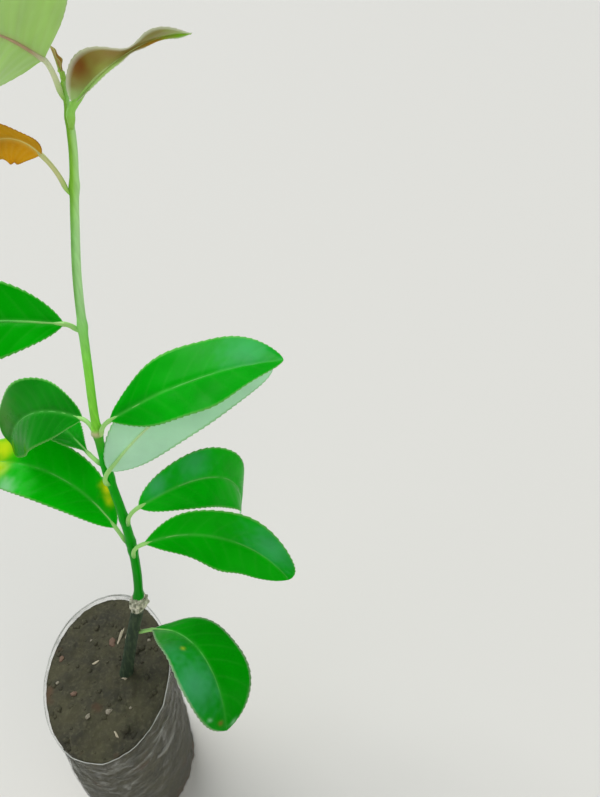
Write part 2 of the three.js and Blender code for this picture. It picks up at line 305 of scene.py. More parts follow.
glint_streaks_and_cut_edge = add_node(tree, "Math", {"operation": "MAXIMUM"}, {
    0: streaks.outputs["Result"], 1: edge.outputs["Result"],
})
relief = add_node(tree, "Bump", inputs={
    "Height": creases.outputs["Fac"], "Strength": 0.9, "Distance": 0.002,
})
shader.inputs["Base Color"].default_value = linear(FILM_COLOUR)
tree.links.new(glint_streaks_and_cut_edge.outputs[0], shader.inputs["Alpha"])
tree.links.new(relief.outputs["Normal"], shader.inputs["Normal"])
shader.inputs["Roughness"].default_value = FILM_ROUGHNESS
shader.inputs["IOR"].default_value = POLYTHENE_IOR

film = make_piece("bag_film", mesh, polythene)
wall = film.modifiers.new("film_wall", "SOLIDIFY")
wall.thickness = FILM_THICKNESS / 1000
wall.offset = -1
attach(film, "root")
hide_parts("nursery_bag")


# The potting soil: loam and sand, rammed into the bag and washed level by watering.
# It fills the film almost to its cut edge, and is heaped a little round the stem's foot.
SOIL_TOP = 140
SOIL_GAP = 0.95
SOIL_EDGE = 138.6
SOIL_BASE = 1.2
# The size and height of the lumps on the surface before watering, and the share of it that is left
SOIL_LUMPS = ((15, 2.4), (7, 2.0), (3.2, 0.8))
LUMPS_LEFT = 0.62
RILL_SPACING = 9
RILL_DEPTH = 0.5
# The surface sinks this much, and more towards the film, and is heaped up round the stem's foot
SOIL_SUNK = 0.5
EDGE_DROP = 0.8
MOUTH_RADIUS = 43
STEM_FOOT = (12.5, 4)
HEAP_HEIGHT = 1.4
HEAP_RADIUS = 9
# It never dips more than this under its edge, and its side is ragged by this much
SOIL_DIP = 0.5
SIDE_RAGGED = 0.5
SOIL_STEPS_ROUND = 216
SOIL_STEPS_UP = 66
SOIL_STEPS_IN = 58
SOIL_FOOT_STEPS = 6
SOIL_DARK = "#312f22"
SOIL_MIDDLE = "#4a4734"
SOIL_PALE = "#5c5843"
SOIL_RUSTY = "#5c402d"
DAMP_PATCH_SIZE = 14.3
GRIT_SIZE = 1.9
RUST_STAIN_SIZE = 22


def soil_height(x, y):
    """The lumpy soil surface, at a place in the bag's mouth."""
    spot = Vector((x, y, 0))
    lumps = sum(depth * noise.noise(spot / size) for size, depth in SOIL_LUMPS)
    rills = RILL_DEPTH * abs(noise.noise(spot / RILL_SPACING + Vector((40, 0, 0))))
    drop = -EDGE_DROP * min((math.hypot(x - BAG_LEAN.x, y - BAG_LEAN.y) / MOUTH_RADIUS) ** 4, 1.5)
    heap = HEAP_HEIGHT * bump(math.hypot(x - STEM_FOOT[0], y - STEM_FOOT[1]), HEAP_RADIUS)
    return SOIL_TOP - SOIL_SUNK + (lumps - rills) * LUMPS_LEFT + drop + heap


mesh = bmesh.new()
foot = [(BAG_FOOT_RADIUS * step / SOIL_FOOT_STEPS, SOIL_BASE) for step in range(SOIL_FOOT_STEPS)]
rise = SOIL_EDGE - SOIL_BASE
wall = [(BAG_FOOT_RADIUS, SOIL_BASE + rise * step / SOIL_STEPS_UP) for step in range(SOIL_STEPS_UP + 1)]
top = [(BAG_FOOT_RADIUS * (1 - step / SOIL_STEPS_IN), SOIL_TOP) for step in range(1, SOIL_STEPS_IN + 1)]
lathe(mesh, foot + wall + top, SOIL_STEPS_ROUND)
for spot in mesh.verts:
    angle = math.atan2(spot.co.y, spot.co.x)
    share, height = spot.co.xy.length / BAG_FOOT_RADIUS, spot.co.z
    radius = share * (film_radius(angle, max(height, SOIL_BASE)) - SOIL_GAP)
    out = Vector((math.cos(angle), math.sin(angle), 0))
    on_side = height < SOIL_TOP and share > 0.99
    if on_side:
        radius -= SIDE_RAGGED * abs(noise.noise(out * 16 + Vector((0, 0, height / 2.5))))
    placed = press_oval(out * radius + Vector((0, 0, min(height, SOIL_EDGE))))
    if height == SOIL_TOP:
        placed.z = max(soil_height(placed.x, placed.y), SOIL_EDGE - SOIL_DIP)
    spot.co = placed

# Damp loam is dull and dark, with paler grit, darker wet patches that shine a little, and rusty stains
loam, tree, shader = start_material("damp_loam")
place = add_node(tree, "TexCoord").outputs["Object"]
patches = add_node(tree, "TexNoise", inputs={
    "Vector": place, "Scale": pattern_scale(DAMP_PATCH_SIZE), "Detail": 6, "Roughness": 0.65,
})
grit = add_node(tree, "TexNoise", inputs={"Vector": place, "Scale": pattern_scale(GRIT_SIZE), "Detail": 3})
dark = add_node(tree, "MapRange", inputs={
    "Value": patches.outputs["Fac"], "From Min": 0.35, "From Max": 0.62,
})
pale = add_node(tree, "MapRange", inputs={"Value": grit.outputs["Fac"], "From Min": 0.5, "From Max": 0.95})
rust = add_node(tree, "TexNoise", inputs={
    "Vector": place, "Scale": pattern_scale(RUST_STAIN_SIZE), "Detail": 3,
})
rusty = add_node(tree, "MapRange", inputs={
    "Value": rust.outputs["Fac"], "From Min": 0.6, "From Max": 0.72, "To Max": 0.6,
})
colour = add_node(tree, "Mix", {"data_type": "RGBA"}, {
    0: dark.outputs["Result"], 6: linear(SOIL_DARK), 7: linear(SOIL_MIDDLE),
})
colour = add_node(tree, "Mix", {"data_type": "RGBA"}, {
    0: pale.outputs["Result"], 6: colour.outputs[2], 7: linear(SOIL_PALE),
})
colour = add_node(tree, "Mix", {"data_type": "RGBA"}, {
    0: rusty.outputs["Result"], 6: colour.outputs[2], 7: linear(SOIL_RUSTY),
})
relief = add_node(tree, "Bump", inputs={
    "Height": grit.outputs["Fac"], "Strength": 0.45, "Distance": 0.0007,
})
damp = add_node(tree, "MapRange", inputs={
    "Value": patches.outputs["Fac"], "From Min": 0.3, "From Max": 0.7, "To Min": 0.72, "To Max": 0.95,
})
tree.links.new(colour.outputs[2], shader.inputs["Base Color"])
tree.links.new(damp.outputs["Result"], shader.inputs["Roughness"])
tree.links.new(relief.outputs["Normal"], shader.inputs["Normal"])
shader.inputs["Specular IOR Level"].default_value = 0.3

soil = make_piece("soil_fill", mesh, loam)
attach(soil, "root")
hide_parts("soil")


# Loose crumbs of the same loam on the soil's surface, each a few grains stuck together by the watering.
# They lie half sunk in it, and most are small.
CRUMBS = 130
CRUMB_LEAST = 0.6
CRUMB_RANGE = 2.2
CRUMB_RAGGED = 0.55
CRUMB_SUNK = 0.18
CRUMB_FILM_GAP = 2.5

rng = random.Random(7)
mesh = bmesh.new()
for _ in range(CRUMBS):
    angle, share = rng.uniform(0, math.tau), math.sqrt(rng.random())
    reach = share * (film_radius(angle, SOIL_EDGE) - CRUMB_FILM_GAP)
    spot = press_oval(Vector((reach * math.cos(angle), reach * math.sin(angle), SOIL_TOP)))
    size = CRUMB_LEAST + CRUMB_RANGE * rng.random() ** 3
    crumb = bmesh.ops.create_icosphere(mesh, subdivisions=1, radius=size)["verts"]
    seed = Vector((rng.uniform(0, 90), rng.uniform(0, 90), 0))
    for corner in crumb:
        corner.co *= 1 + CRUMB_RAGGED * noise.noise(corner.co / size * 1.1 + seed)
    bmesh.ops.scale(mesh, vec=(1, rng.uniform(0.7, 1), rng.uniform(0.55, 0.85)), verts=crumb)
    bmesh.ops.rotate(mesh, verts=crumb, matrix=Matrix.Rotation(rng.uniform(0, math.tau), 3, "Z"))
    spot.z = soil_height(spot.x, spot.y) - size * CRUMB_SUNK
    bmesh.ops.translate(mesh, vec=spot, verts=crumb)
crumbs = make_piece("soil_crumbs", mesh, loam)
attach(crumbs, "root")


# Bits that the watering has washed clean: river gravel in the mix, pale slivers of wood, two of them
# behind the stem's foot, and three chips of rust-brown bark. They lie a little sunk in the soil.
GRAVEL, WOOD, CHIP = range(3)
# Each bit: its place in the mouth, length, width, height, bearing, tip-up in degrees, and what it is
WASHED_BITS = [
    (7, -18, 3.6, 2.6, 1.8, 20, 8, GRAVEL), (-4, -21, 2.8, 2.2, 1.6, 70, 0, GRAVEL),
    (-27, -2, 2.0, 1.7, 1.2, 40, 0, GRAVEL), (19, -16, 1.6, 1.3, 1.0, 30, 0, GRAVEL),
    (-14, 24, 1.6, 1.2, 1.0, 50, 0, GRAVEL), (22, 24, 2.2, 1.7, 1.2, 0, 0, GRAVEL),
    (4, 25, 10, 2.0, 1.3, 76, 15, WOOD), (8, 27, 8, 1.8, 1.2, 70, 11, WOOD),
    (-8, 10, 5, 1.4, 1.0, 30, 6, WOOD), (14, -30, 4, 1.2, 0.9, 130, 5, WOOD),
    (12.5, 0.5, 3.4, 2.2, 1.6, 10, 4, WOOD), (0, 22, 6, 4, 1.8, 110, 6, CHIP),
    (-16, -8, 4, 2.6, 1.2, 20, 4, CHIP), (-29, 12, 4.4, 2.6, 1.4, 80, 8, CHIP),
]
# The darker and the paler tone of each kind, and its roughness
BIT_TONES = (
    ("river_gravel", "#6f6859", "#a39a86", 0.75),
    ("washed_wood", "#94866c", "#c9bfa6", 0.8),
    ("bark_chip", "#5a4434", "#7f6553", 0.85),
)
BIT_VEIN_SIZE = 1.4
BIT_RAGGED = 0.55
BIT_SHOWN = 0.2

mesh = bmesh.new()
for x, y, length, width, height, bearing, tip_up, kind in WASHED_BITS:
    bit = bmesh.ops.create_icosphere(mesh, subdivisions=3, radius=0.5)["verts"]
    for corner in bit:
        corner.co *= 1 + BIT_RAGGED * noise.noise(corner.co * 3 + Vector((x, y, 0)))
    for face in {face for corner in bit for face in corner.link_faces}:
        face.material_index = kind
    bmesh.ops.scale(mesh, vec=(length, width, height), verts=bit)
    turn = Euler((0, math.radians(-tip_up), math.radians(bearing))).to_matrix()
    bmesh.ops.rotate(mesh, verts=bit, matrix=turn)
    bmesh.ops.translate(mesh, vec=(x, y, soil_height(x, y) + height * BIT_SHOWN), verts=bit)

# Clean gravel, wood and bark are matt and paler than the soil, each veined in two tones of its own
bit_materials = []
for name, dark_tone, pale_tone, roughness in BIT_TONES:
    made, tree, shader = start_material(name)
    place = add_node(tree, "TexCoord").outputs["Object"]
    veining = add_node(tree, "TexNoise", inputs={
        "Vector": place, "Scale": pattern_scale(BIT_VEIN_SIZE), "Detail": 3,
    })
    colour = add_node(tree, "Mix", {"data_type": "RGBA"}, {
        0: veining.outputs["Fac"], 6: linear(dark_tone), 7: linear(pale_tone),
    })
    tree.links.new(colour.outputs[2], shader.inputs["Base Color"])
    shader.inputs["Roughness"].default_value = roughness
    bit_materials.append(made)
bits = make_piece("soil_bits", mesh, *bit_materials)
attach(bits, "root")


# The woody stub: the cutting that was struck in the soil, grey-green bark over hard wood.
# Its cut top healed over in a pale, knobbly callus, and short fissures and a fine grain mark the bark.
STUB_TOP = 67
STUB_RADIUS = 3.4
STUB_FOOT_RADIUS = 4.2
STUB_FLARE = 7
CALLUS_RADIUS = 4.5
CALLUS_HEIGHT = 60
CALLUS_SPREAD = 3.6
CALLUS_REACH = 4.6
KNOB_HEIGHT = 1.9
WART_DEPTH = 1.2
# Over this height the cut top's edge is worn round
ROUNDING_HEIGHT = 63
ROUNDING = 0.25
FISSURE_HEIGHT = 0.3
GRAIN_HEIGHT = 0.14
STUB_SUNK = 3
STUB_STEPS = 170
STUB_SIDES = 44
BARK_COLOUR = "#2a3a27"
BARK_PALE_COLOUR = "#445338"
CALLUS_COLOUR = "#e6e2c8"
CALLUS_DARK_COLOUR = "#5f6349"
# Heights in metres between which bark turns to callus, and how ragged that line is
CALLUS_FROM, CALLUS_TO = 0.1975, 0.2005
CALLUS_RAGGED = 0.006
BARK_ROUGHNESS = 0.8
BARK_STREAK_SIZE = 1.61
CALLUS_KNOB_SIZE = 2.38
# The centre of the stub and the shoot: height over the soil, and place
STEM_LINE = [
    (0, 12.5, 4), (30, 20, 9.5), (60, 28, 16), (90, 31, 21), (120, 30, 26), (145, 27, 31),
    (172, 26, 35.5), (205, 28, 41.5), (240, 31, 47.5), (265, 35, 52), (287, 39, 55.5), (308, 40, 59.5),
]


def stem_at(height):
    """The stem's centre at a height over the soil."""
    x, y = through(STEM_LINE, height)
    return Vector((x, y, SOIL_TOP + height))


def stub_radius(height):
    flare = (STUB_FOOT_RADIUS - STUB_RADIUS) * math.exp(-max(height, 0) / STUB_FLARE)
    callus = (CALLUS_RADIUS - STUB_RADIUS) * bump(height - CALLUS_HEIGHT, CALLUS_SPREAD)
    return STUB_RADIUS + flare + callus - max(0, height - ROUNDING_HEIGHT) * ROUNDING


def tube(mesh, steps, sides, place, paint=None):
    """Wraps a grid into a closed round bar. place gives a point from the share along and the angle."""
    bar = bmesh.ops.create_grid(mesh, x_segments=steps, y_segments=sides, size=1)["verts"]
    for spot in bar:
        along = (spot.co.x + 1) / 2
        if paint:
            paint(spot, along)
        spot.co = place(along, -math.pi * spot.co.y)
    rim = [spot for spot in bar if spot.is_boundary]
    bmesh.ops.remove_doubles(mesh, verts=rim, dist=0.001)
    ends = [edge for edge in mesh.edges if edge.is_boundary]
    bmesh.ops.holes_fill(mesh, edges=ends, sides=0)


def stub_point(share, angle):
    height = -STUB_SUNK + share * (STUB_TOP + STUB_SUNK)
    around = Vector((math.cos(angle), math.sin(angle), 0))
    fissure = noise.noise(around * 2.6 + Vector((0, 0, height / 9)))
    grain = noise.noise(around * 6 + Vector((0, 0, height / 2.5)))
    knobs = noise.noise(around * 2.3 + Vector((5, 0, height / 2.1)))
    warts = abs(noise.noise(around * 5 + Vector((5, 9, height / 1.1))))
    at_callus = bump(height - CALLUS_HEIGHT - 0.5, CALLUS_REACH)
    lumps = KNOB_HEIGHT * knobs - WART_DEPTH * warts + 0.4
    radius = stub_radius(height) + FISSURE_HEIGHT * abs(fissure) + GRAIN_HEIGHT * grain + at_callus * lumps
    return stem_at(height) + around * radius


mesh = bmesh.new()
tube(mesh, STUB_STEPS, STUB_SIDES, stub_point)
bmesh.ops.recalc_face_normals(mesh, faces=mesh.faces)

# Citrus bark is matt grey-green with paler streaks along it, and its callus is cream, mottled with dark
bark, tree, shader = start_material("citrus_bark")
place = add_node(tree, "TexCoord").outputs["Object"]
height = add_node(tree, "SeparateXYZ", inputs={"Vector": place}).outputs["Z"]
stretched = add_node(tree, "Mapping", inputs={"Vector": place, "Scale": (1, 1, 0.22)}).outputs["Vector"]
streaks = add_node(tree, "TexNoise", inputs={
    "Vector": stretched, "Scale": pattern_scale(BARK_STREAK_SIZE), "Detail": 4,
})
knobs = add_node(tree, "TexNoise", inputs={
    "Vector": place, "Scale": pattern_scale(CALLUS_KNOB_SIZE), "Detail": 3,
})
ragged = add_node(tree, "Math", {"operation": "MULTIPLY_ADD"}, {
    0: knobs.outputs["Fac"], 1: CALLUS_RAGGED, 2: height,
})
healed = add_node(tree, "MapRange", inputs={
    "Value": ragged.outputs[0], "From Min": CALLUS_FROM, "From Max": CALLUS_TO,
})
grey = add_node(tree, "MapRange", inputs={
    "Value": streaks.outputs["Fac"], "From Min": 0.45, "From Max": 0.7,
})
colour = add_node(tree, "Mix", {"data_type": "RGBA"}, {
    0: grey.outputs["Result"], 6: linear(BARK_COLOUR), 7: linear(BARK_PALE_COLOUR),
})
knobbly = add_node(tree, "MapRange", inputs={
    "Value": knobs.outputs["Fac"], "From Min": 0.36, "From Max": 0.62,
})
callus = add_node(tree, "Mix", {"data_type": "RGBA"}, {
    0: knobbly.outputs["Result"], 6: linear(CALLUS_DARK_COLOUR), 7: linear(CALLUS_COLOUR),
})
colour = add_node(tree, "Mix", {"data_type": "RGBA"}, {
    0: healed.outputs["Result"], 6: colour.outputs[2], 7: callus.outputs[2],
})
relief = add_node(tree, "Bump", inputs={
    "Height": streaks.outputs["Fac"], "Strength": 0.5, "Distance": 0.0004,
})
tree.links.new(colour.outputs[2], shader.inputs["Base Color"])
tree.links.new(relief.outputs["Normal"], shader.inputs["Normal"])
shader.inputs["Roughness"].default_value = BARK_ROUGHNESS
shader.inputs["Specular IOR Level"].default_value = 0.3

stub = make_piece("stub_bark", mesh, bark)
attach(stub, "root")
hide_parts("woody_stub")


# The green shoot: this season's growth out of the callus, a soft stem under a smooth green skin.
# It is deep green at its foot, yellow-green over the ringed joint where growth paused, and palest
# under its tip. It swells a little at each leaf.
SHOOT_TOP = 308
SHOOT_FOOT = 64
# Radii at heights over the soil
SHOOT_TAPER = [
    (67, 2.4), (110, 2.3), (172, 1.9), (225, 1.8), (275, 1.6), (292, 1.5), (299, 1.0), (308, 0.8),
]
LEAF_JOINTS = [99.5, 105, 120.5, 145, 149, 153.5, 170, 173, 222, 275, 297, 305]
NODE_SWELL = 0.4
NODE_SPREAD = 2.5
# Two rings of old bud scars, one over the other
RING_HEIGHT = 171
RING_GAP = 2.6
RING_SWELL = 0.45
FOOT_SWELL = 0.7
TIP_ROUNDING = 1.2
RIB_SHARE = 0.03
RIB_TURN = 34
SHOOT_STEPS = 420
SHOOT_SIDES = 26
SKIN_ROUGHNESS = 0.32
SKIN_STREAK_SIZE = 1.1
# High up, one side of the shoot is painted darker as painted shade, and the other paler as painted light
SHADED_SIDE_PAINT = "#5c9c04"
LIT_SIDE_PAINT = "#c2f0a8"
# The painted shade and painted light of the two sides come in above this height, over this reach, up to
# this share
SIDE_PAINT_HEIGHT = 222
SIDE_PAINT_REACH = 12
SIDE_PAINT_SHARE = 0.8
# Skin colours at heights over the soil
SKIN_COLOURS = [
    (66, "#0a8c0c"), (80, "#049204"), (120, "#04a206"), (160, "#08b00a"), (170, "#4eb02a"),
    (172, "#cbc592"), (174.5, "#86dc3c"), (205, "#8eea50"), (232, "#9cdc84"), (258, "#a0e284"),
    (274, "#94d648"), (290, "#98d24c"), (308, "#98c850"),
]


def shoot_radius(height):
    low = mark_before(SHOOT_TAPER, height)
    (start, wide), (end, narrow) = SHOOT_TAPER[low:low + 2]
    radius = wide + (narrow - wide) * (height - start) / (end - start)
    return radius + sum(NODE_SWELL * bump(height - joint, NODE_SPREAD) for joint in LEAF_JOINTS)


def skin_tone(height):
    """The stem's colour at a height over the soil, which is bark's below the callus."""
    if height < STUB_TOP:
        return linear(BARK_PALE_COLOUR)
    low = mark_before(SKIN_COLOURS, height)
    (start, tone), (end, next_tone) = SKIN_COLOURS[low:low + 2]
    return linear(tone).lerp(linear(next_tone), (height - start) / (end - start))


def shoot_point(share, angle):
    height = SHOOT_FOOT + share * (SHOOT_TOP - SHOOT_FOOT)
    around = Vector((math.cos(angle), math.sin(angle), 0))
    uneven = 0.02 * noise.noise(around * 1.7 + Vector((0, 0, height / 9)))
    ribs = RIB_SHARE * math.cos(3 * angle + height / RIB_TURN) + uneven
    ring = RING_SWELL * (bump(height - RING_HEIGHT, 0.7) + bump(height - RING_HEIGHT - RING_GAP, 0.6))
    foot = FOOT_SWELL * bump(height - STUB_TOP + 2, 3)
    closing = math.sqrt(max(0.02, min(1, (SHOOT_TOP - height) / TIP_ROUNDING)))
    radius = shoot_radius(max(height, STUB_TOP)) * (1 + ribs) + ring + foot
    return stem_at(height) + around * radius * closing


def shoot_paint(spot, along):
    """The skin's colour, which high up has painted shade on one side and painted light on the other."""
    height = SHOOT_FOOT + along * (SHOOT_TOP - SHOOT_FOOT)
    side = math.cos(math.pi * spot.co.y)
    side_paint = linear(LIT_SIDE_PAINT if side > 0 else SHADED_SIDE_PAINT)
    most = SIDE_PAINT_SHARE * min(1, max(0, (height - SIDE_PAINT_HEIGHT) / SIDE_PAINT_REACH))
    spot[tissue] = skin_tone(max(height, STUB_TOP)).lerp(side_paint, most * abs(side) ** 0.7)


mesh = bmesh.new()
tissue = mesh.verts.layers.float_color.new("tissue")
tube(mesh, SHOOT_STEPS, SHOOT_SIDES, shoot_point, shoot_paint)
bmesh.ops.recalc_face_normals(mesh, faces=mesh.faces)

# Green stem skin is smooth and softly glossy, finely streaked along its length
green_skin, tree, shader = start_material("green_stem_skin")
place = add_node(tree, "TexCoord").outputs["Object"]
painted = add_node(tree, "Attribute", {"attribute_name": "tissue"}).outputs["Color"]
stretched = add_node(tree, "Mapping", inputs={"Vector": place, "Scale": (1, 1, 0.08)}).outputs["Vector"]
streaks = add_node(tree, "TexNoise", inputs={
    "Vector": stretched, "Scale": pattern_scale(SKIN_STREAK_SIZE), "Detail": 3,
})
shade = add_node(tree, "MapRange", inputs={
    "Value": streaks.outputs["Fac"], "From Min": 0.3, "From Max": 0.7, "To Min": 0.88, "To Max": 1.1,
})
colour = add_node(tree, "Mix", {"data_type": "RGBA", "blend_type": "MULTIPLY"}, {
    0: 1.0, 6: painted, 7: shade.outputs["Result"],
})
relief = add_node(tree, "Bump", inputs={
    "Height": streaks.outputs["Fac"], "Strength": 0.25, "Distance": 0.0002,
})
tree.links.new(colour.outputs[2], shader.inputs["Base Color"])
tree.links.new(relief.outputs["Normal"], shader.inputs["Normal"])
shader.inputs["Roughness"].default_value = SKIN_ROUGHNESS
shader.inputs["Specular IOR Level"].default_value = 0.1

shoot = make_piece("shoot_skin", mesh, green_skin)
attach(shoot, "root")
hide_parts("green_shoot")


# The grown leaves: leathery blades with a glossy skin above and a pale, dull one below. A pale stalk
# runs on as the midrib, side veins sink into the blade, and the edge is finely toothed.
STALK_RADIUS = 1.1
# Where the stalk leaves the stem's skin, and how far under that it is rooted on the stem's centre line
STALK_GAP = 0.3
ROOT_DROP = 0.5
STEEP_ROOT_DROP = 3.5
FOOT_STEPS = 8
STALK_STEPS = 14
BARE_STEPS = FOOT_STEPS + STALK_STEPS
BLADE_STEPS = 160
BLADE_SIDES = 34
ENDS_CLOSER = 0.35
SAG_POWER = 1.3
STATIONS_A_TOOTH = 5
# How far from the base a pinched blade is narrowest, and over how much of it, as shares of its length
PINCH_PLACE = 0.52
PINCH_SPREAD = 0.13
# Side veins leave the midrib by turns and slant forward, and the blade puffs up between them
SIDE_VEIN_PAIRS = 9
VEIN_SLANT = 0.16
VEIN_SPREAD = 0.55
PUFF_SPACING = 2.6
PUFF_HEIGHT = 0.1
# The midrib lies in a groove, and the edge and the whole blade are gently wavy
MIDRIB_SPREAD = 0.75
GROOVE_DEPTH = 0.5
GROOVE_SPREAD = 1.7
EDGE_WAVE = 0.9
WAVES = 2.3
BUCKLE_HEIGHT = 0.55
BUCKLE_SIZE = 17
# What a leaf has where nothing else is said of it
USUAL_LEAF = dict(thickness=0.42, tooth=0.42, margin=0.55, stalk_radius=0.85, right=1, pinch=0, patches=())
EDGE_THINNING = 0.45
STALK_SIDES = 14
MIDRIB_LEAST = 0.16
# How strongly the veins, the midrib and the margin show in their own colours
VEIN_SHARE_TOP = 0.07
VEIN_SHARE_UNDER = 0.04
MIDRIB_SHARE = 0.5
EDGE_SHARE = 0.75
LEAF_UNDER = "#bbecc4"
VEIN_TOP = "#58c24a"
VEIN_UNDER = "#c0dca0"
# The grown leaves' pale margin is partly the margin's own paler tissue and partly painted highlight, where
# the thin edge catches the light
MARGIN_TISSUE_AND_HIGHLIGHT = "#7cc860"
STALK_COLOUR = "#a6e07a"
YELLOW = "#f0ec18"
BROWN = "#7d6a2a"
# Painted sheen: a pale teal-green laid on the waxed tops where they would shine
PAINTED_SHEEN = "#5cb88c"
# Painted highlights: small pale spots near a leaf's tip, standing for glints
PAINTED_GLINT = "#9cd8a4"
MOTTLE_SIZE = 16.7
# Real oil glands lie closer together than this, and are drawn coarse enough to show
OIL_GLAND_SIZE = 0.9

# at is the height over the soil where the stalk leaves the stem. stalk is its bearing, rise and length,
# and bearing, rise, length and width are then the blade's own, with all angles in degrees. sag and swing
# bend it down and round, roll and twist turn it about its midrib, and fold closes it along the midrib.
# base and tip shape its ends, blunter for a lower number. right is the share that its right half keeps
# of its width, and pinch is what its middle loses. green is its top's colour: the leaf's own green, made
# darker by painted shade where the leaf lies in shade, leaf_09 most, and paler by painted light where it
# lies in full light. edge is the colour of its margin, which is margin mm wide.
GROWN_LEAVES = {
    "leaf_01_on_stub": dict(
        at=38.5, stalk=(-2, 23, 8.5), bearing=-14, rise=38, length=82, width=40, sag=98, swing=-70,
        roll=-22, twist=-5, fold=6, base=1.0, tip=0.7, green="#009200", edge="#a9bf98", margin=1.2),
    "leaf_02_right": dict(
        at=99.5, stalk=(-45, 86, 12), bearing=6.5, rise=24, length=81, width=34, sag=77, swing=-34,
        roll=55, twist=23, fold=6, base=1.0, tip=0.6, green="#00ac00"),
    "leaf_03_left": dict(
        at=105, stalk=(144, 57, 8), bearing=135, rise=26, length=87, width=32, sag=37, swing=46,
        roll=-21, twist=-5, fold=6, base=0.68, tip=0.45, green="#00b400"),
    "leaf_04_right": dict(
        at=120.5, stalk=(7, 85, 11), bearing=34.5, rise=9, length=89, width=31, sag=116, swing=16,
        roll=51, twist=0, fold=6, base=0.62, tip=0.5, green="#00b204"),
    "leaf_05_behind": dict(
        at=149, stalk=(80, 40, 7), bearing=58, rise=18, length=62, width=27, sag=30, swing=0,
        roll=0, twist=0, fold=8, base=0.75, tip=0.6, green="#009a00"),
    "leaf_06_upturned": dict(
        at=145, stalk=(-107, 67, 9.5), bearing=39, rise=39, length=90, width=31, sag=38, swing=-31,
        roll=-125, twist=0, fold=0, base=0.6, tip=0.67, green="#00a000"),
    "leaf_07_back_left": dict(
        at=153.5, stalk=(156, 34, 7), bearing=132, rise=-3, length=69, width=31, sag=38, swing=0,
        roll=3, twist=0, fold=6, base=1.3, tip=0.62, right=0.7, green="#009a00"),
    "leaf_08_right": dict(
        at=173, stalk=(-2, 77, 8), bearing=16, rise=27.5, length=82, width=38, sag=16, swing=-22.5,
        roll=25, twist=-24, fold=6, base=0.85, tip=0.7, green="#00a004"),
    # leaf_09's darker green is its own green darkened by painted shade, as it lies in shade
    "leaf_09_left": dict(
        at=170, stalk=(125, 51, 8.5), bearing=151, rise=-5, length=71, width=35.5, sag=67, swing=17.5,
        roll=-47, twist=-6, fold=6, base=0.72, tip=0.45, green="#008600"),
    "leaf_10_left": dict(
        at=222, stalk=(200, 55, 4), bearing=188, rise=12, length=76, width=37, sag=40, swing=-8,
        roll=-44, twist=0, fold=7, base=0.75, tip=0.55, green="#00a400"),
}
# Each patch: share along, share across, size in mm, colour and strength. A patch stops at the midrib. The
# pale teal-green patches are painted sheen, laid where the waxed tops would shine.
PATCHES = {
    "leaf_01_on_stub": [
        (0.66, -0.65, 11, PAINTED_SHEEN, 0.5), (0.4, -0.8, 7, PAINTED_SHEEN, 0.25), (0.42, -0.4, 1.1, YELLOW, 0.45),
        # The two small pale spots on the next line are painted highlights
        (0.93, -0.35, 1.3, BROWN, 0.8), (0.88, -0.7, 1.1, PAINTED_GLINT, 0.6), (0.96, 0.6, 1.4, PAINTED_GLINT, 0.6)],
    "leaf_02_right": [(0.78, 0.55, 10, PAINTED_SHEEN, 0.4)],
    "leaf_03_left": [
        (0.14, -0.7, 2, YELLOW, 0.6), (0.2, -0.95, 2.6, YELLOW, 0.95), (0.85, -0.5, 6, YELLOW, 0.6),
        # The pale mint patch last on the next line is painted sheen along leaf_03's edge near its tip
        (0.85, 0.3, 5, YELLOW, 0.5), (0.76, 0.95, 6, "#8fce94", 0.75)],
    "leaf_04_right": [(0.13, 0.6, 5, PAINTED_SHEEN, 0.45), (0.36, 0.6, 8, PAINTED_SHEEN, 0.35)],
    "leaf_08_right": [(0.8, 0.5, 10, PAINTED_SHEEN, 0.3)],
    "leaf_09_left": [(0.85, -0.6, 10, BROWN, 0.15)],
}


def heading(bearing, rise):
    """A direction from its bearing, measured from +X towards +Y, and its rise from level, in degrees."""
    turn, up = math.radians(bearing), math.radians(rise)
    return Vector((math.cos(up) * math.cos(turn), math.cos(up) * math.sin(turn), math.sin(up)))


def blade_frame(leaf, share):
    """How the blade lies at a share of its length: ahead, out to its left side, and over its top."""
    bearing = leaf["bearing"] + leaf["swing"] * share
    ahead = heading(bearing, leaf["rise"] - leaf["sag"] * share ** SAG_POWER)
    turn = Matrix.Rotation(math.radians(leaf["roll"] + leaf["twist"] * share), 3, ahead)
    side = turn @ heading(bearing + 90, 0)
    return ahead, side, ahead.cross(side)


def half_width(leaf, share):
    """The blade's half width, widest where its base and tip powers balance, less any pinch."""
    base, tip = leaf["base"], leaf["tip"]
    peak = base / (base + tip)
    most = peak ** base * (1 - peak) ** tip
    plain = leaf["width"] / 2 * share ** base * max(1 - share, 0) ** tip / most
    return plain * (1 - leaf["pinch"] * bump(share - PINCH_PLACE, PINCH_SPREAD))


def blade_share(step):
    """Stations along the blade close up towards both ends."""
    even = step / BLADE_STEPS
    return even - ENDS_CLOSER * math.sin(math.tau * even) / math.tau


